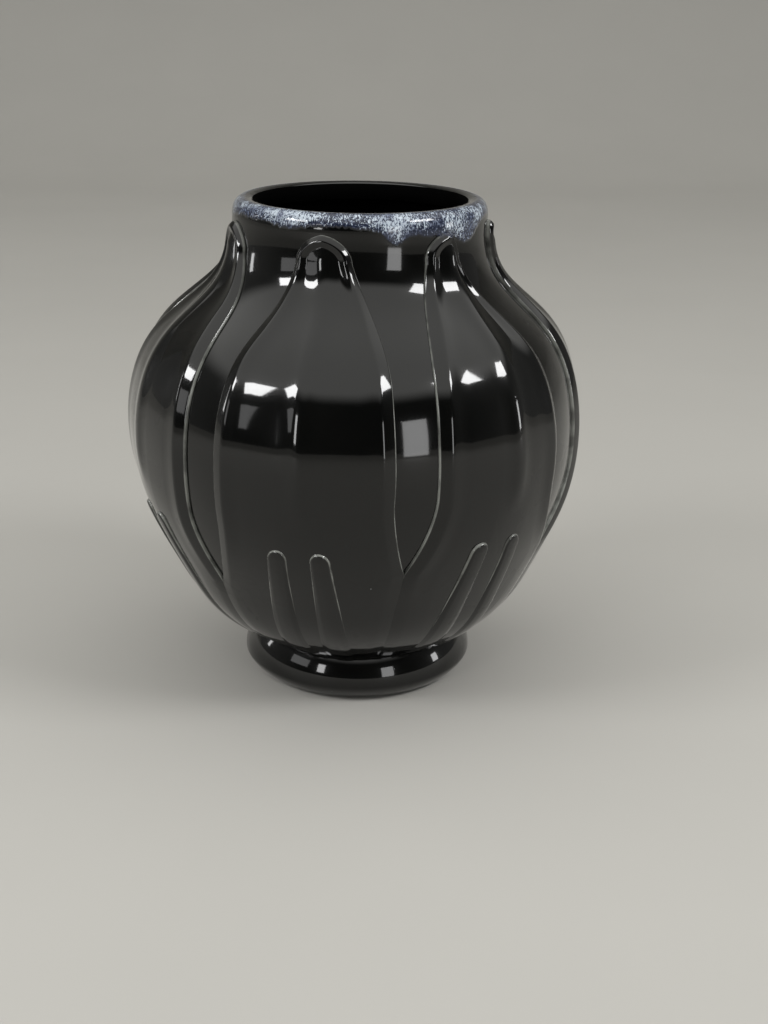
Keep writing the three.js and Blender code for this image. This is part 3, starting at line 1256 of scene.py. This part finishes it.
@dataclass(frozen=True)
class Studio:
    """The floor with its backdrop, the soft light, and the camera."""

    floor_colour: Colour = (0.38, 0.371, 0.348, 1)
    floor_roughness: float = 0.75
    cloud_size: float = 180
    cloud_shade: float = 0.93
    half_width: float = 4
    front: float = -4
    back: float = 1.7
    sweep_radius: float = 0.8
    sweep_steps: int = 24
    sweep_height: float = 2.6
    target_height: float = 0.115
    room_colour: Colour = (1, 0.995, 0.96, 1)
    # Strengths of the room's light, and the parts of a direction over which they change.
    dark_room: float = 0.04
    pale_room: float = 0.17
    ceiling: float = 1.3
    room_turns: Span = (-0.7, 0.1)
    ceiling_from: Span = (0.48, 0.66)
    camera_distance: float = 0.7102
    camera_height: float = 0.3289
    camera_pitch: float = 19.52
    camera_yaw: float = 1.015
    camera_roll: float = 0.76
    lens: float = 54.14
    sensor: float = 36
    lamps: tuple[Softbox, ...] = (
        Softbox("left_window", -62, 33, 1.6, 0.54, 0.24, 24),
        Softbox("right_window", 62, 38, 1.6, 0.56, 0.32, 22),
        Softbox("right_strip", 84, 5, 1.6, 0.20, 0.34, 9),
        Softbox("front_panel", 30, 7, 1.7, 0.36, 0.58, 5),
        Softbox("left_panel", -60, 14, 1.8, 0.62, 0.42, 1.8),
        Softbox("near_strip", -36, 11, 1.8, 0.22, 0.50, 10),
        Softbox("side_strip", -104, 12, 1.6, 0.10, 0.40, 8),
    )

    def build_floor(self) -> bpy.types.Object:
        """Makes the pale floor, which curves up behind the vase into a backdrop."""
        sheet = NodeSheet("pale_floor")
        place = sheet.add("TexCoord").outputs["Object"]
        cloud = sheet.noise(place, 1 / (self.cloud_size * MM), detail=3)
        darker = tuple(self.cloud_shade * part for part in self.floor_colour[:3]) + (1,)
        sheet.feed(sheet.shader.inputs["Base Color"], sheet.mix(cloud, darker, self.floor_colour))
        sheet.shader.inputs["Roughness"].default_value = self.floor_roughness
        start_clean()
        bpy.ops.mesh.primitive_plane_add(size=1)
        floor = bpy.context.object
        floor.name = floor.data.name = "floor"
        for vertex in floor.data.vertices:
            vertex.co.x = math.copysign(self.half_width, vertex.co.x)
            vertex.co.y = self.back if vertex.co.y > 0 else self.front
        bpy.ops.object.mode_set(mode="EDIT")
        bpy.ops.mesh.select_mode(type="EDGE")
        bpy.ops.mesh.select_all(action="DESELECT")
        bpy.ops.object.mode_set(mode="OBJECT")
        for edge in floor.data.edges:
            edge.select = all(floor.data.vertices[i].co.y > 0 for i in edge.vertices)
        bpy.ops.object.mode_set(mode="EDIT")
        last = Vector((0, 0, 0))
        for i in range(1, self.sweep_steps + 1):
            turn = math.pi / 2 * i / self.sweep_steps
            point = Vector((0, self.sweep_radius * math.sin(turn), self.sweep_radius * (1 - math.cos(turn))))
            bpy.ops.mesh.extrude_region_move(TRANSFORM_OT_translate={"value": point - last})
            last = point
        bpy.ops.mesh.extrude_region_move(TRANSFORM_OT_translate={"value": (0, 0, self.sweep_height)})
        bpy.ops.object.mode_set(mode="OBJECT")
        bpy.ops.object.shade_smooth()
        floor.data.materials.append(sheet.material)
        return floor

    def build_lamp(self, lamp: Softbox) -> bpy.types.Object:
        """Makes one soft lamp that faces the vase.

        Args:
            lamp: Its place, its size and how brightly it glows.

        Returns:
            The lamp.
        """
        turn = math.radians(lamp.angle)
        rise = math.radians(lamp.elevation)
        away = Vector((math.sin(turn) * math.cos(rise), -math.cos(turn) * math.cos(rise), math.sin(rise)))
        target = Vector((0, 0, self.target_height))
        light = bpy.data.lights.new(lamp.name, "AREA")
        light.shape = "RECTANGLE"
        light.size = lamp.width
        light.size_y = lamp.height
        light.energy = lamp.glow * math.pi * lamp.width * lamp.height
        lamp_object = bpy.data.objects.new(lamp.name, light)
        bpy.context.scene.collection.objects.link(lamp_object)
        lamp_object.location = target + away * lamp.distance
        lamp_object.rotation_euler = away.to_track_quat("Z", "Y").to_euler()
        return lamp_object

    def build_sky(self) -> None:
        """Makes the room's light: dark in front at eye level, paler at the back and overhead."""
        world = bpy.data.worlds.new("studio_room")
        world.use_nodes = True
        tree = world.node_tree
        background = tree.nodes["Background"]
        background.inputs["Color"].default_value = self.room_colour
        place = tree.nodes.new("ShaderNodeTexCoord")
        split = tree.nodes.new("ShaderNodeSeparateXYZ")
        tree.links.new(place.outputs["Generated"], split.inputs[0])
        ramps = []
        for axis, ends in (("Y", self.room_turns), ("Z", self.ceiling_from)):
            ramp = tree.nodes.new("ShaderNodeMapRange")
            ramp.interpolation_type = "SMOOTHSTEP"
            ramp.inputs["From Min"].default_value, ramp.inputs["From Max"].default_value = ends
            tree.links.new(split.outputs[axis], ramp.inputs["Value"])
            ramps.append(ramp)
        walls, overhead = ramps
        walls.inputs["To Min"].default_value = self.dark_room
        walls.inputs["To Max"].default_value = self.pale_room
        overhead.inputs["To Max"].default_value = self.ceiling
        tree.links.new(walls.outputs["Result"], overhead.inputs["To Min"])
        tree.links.new(overhead.outputs["Result"], background.inputs["Strength"])
        bpy.context.scene.world = world

    def build_camera(self) -> bpy.types.Object:
        """Makes the camera at the photograph's angle."""
        data = bpy.data.cameras.new("camera")
        data.lens = self.lens
        data.sensor_width = self.sensor
        camera = bpy.data.objects.new("camera", data)
        bpy.context.scene.collection.objects.link(camera)
        camera.location = (0, -self.camera_distance, self.camera_height)
        turn = Matrix.Rotation(-math.radians(self.camera_yaw), 4, "Z")
        tilt = Matrix.Rotation(math.radians(90 - self.camera_pitch), 4, "X")
        roll = Matrix.Rotation(math.radians(self.camera_roll), 4, "Z")
        camera.rotation_euler = (turn @ tilt @ roll).to_euler()
        bpy.context.scene.camera = camera
        return camera

    def build(self) -> None:
        """Makes the whole studio."""
        self.build_floor()
        self.build_sky()
        for lamp in self.lamps:
            self.build_lamp(lamp)
        self.build_camera()
        bpy.context.scene.view_settings.view_transform = "Standard"


@dataclass
class Vase:
    """The whole vase, piece by piece."""

    form: PotForm = field(default_factory=PotForm)
    leaf_count: int = 7

    def build(self) -> None:
        """Makes every piece in the order that the pot was put together."""
        finishes = Finishes(
            black=BlackGlaze().build(),
            rim=RunningRimGlaze().build(),
            inner=ShadedInnerGlaze().build(),
            # The inner glaze is a dull darker copy of the black glaze, painted shade for the inside.
            clay=BareClay().build(),
        )
        flow = RimFlow(self.form)
        BodyWall(self.form).build(finishes, flow)
        FootRing(self.form).build(finishes)
        RimRoll(self.form).build(finishes, flow)
        for index in range(self.leaf_count):
            leaf = Leaf(self.form, index)
            leaf.build(finishes, flow)
            for side in Side:
                Shoot(self.form, index, leaf=leaf, side=side).build(finishes)


def main() -> None:
    """Builds the vase and its studio."""
    logging.basicConfig(level=logging.INFO)
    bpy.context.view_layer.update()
    Vase().build()
    Studio().build()


if __name__ == "__main__":
    main()
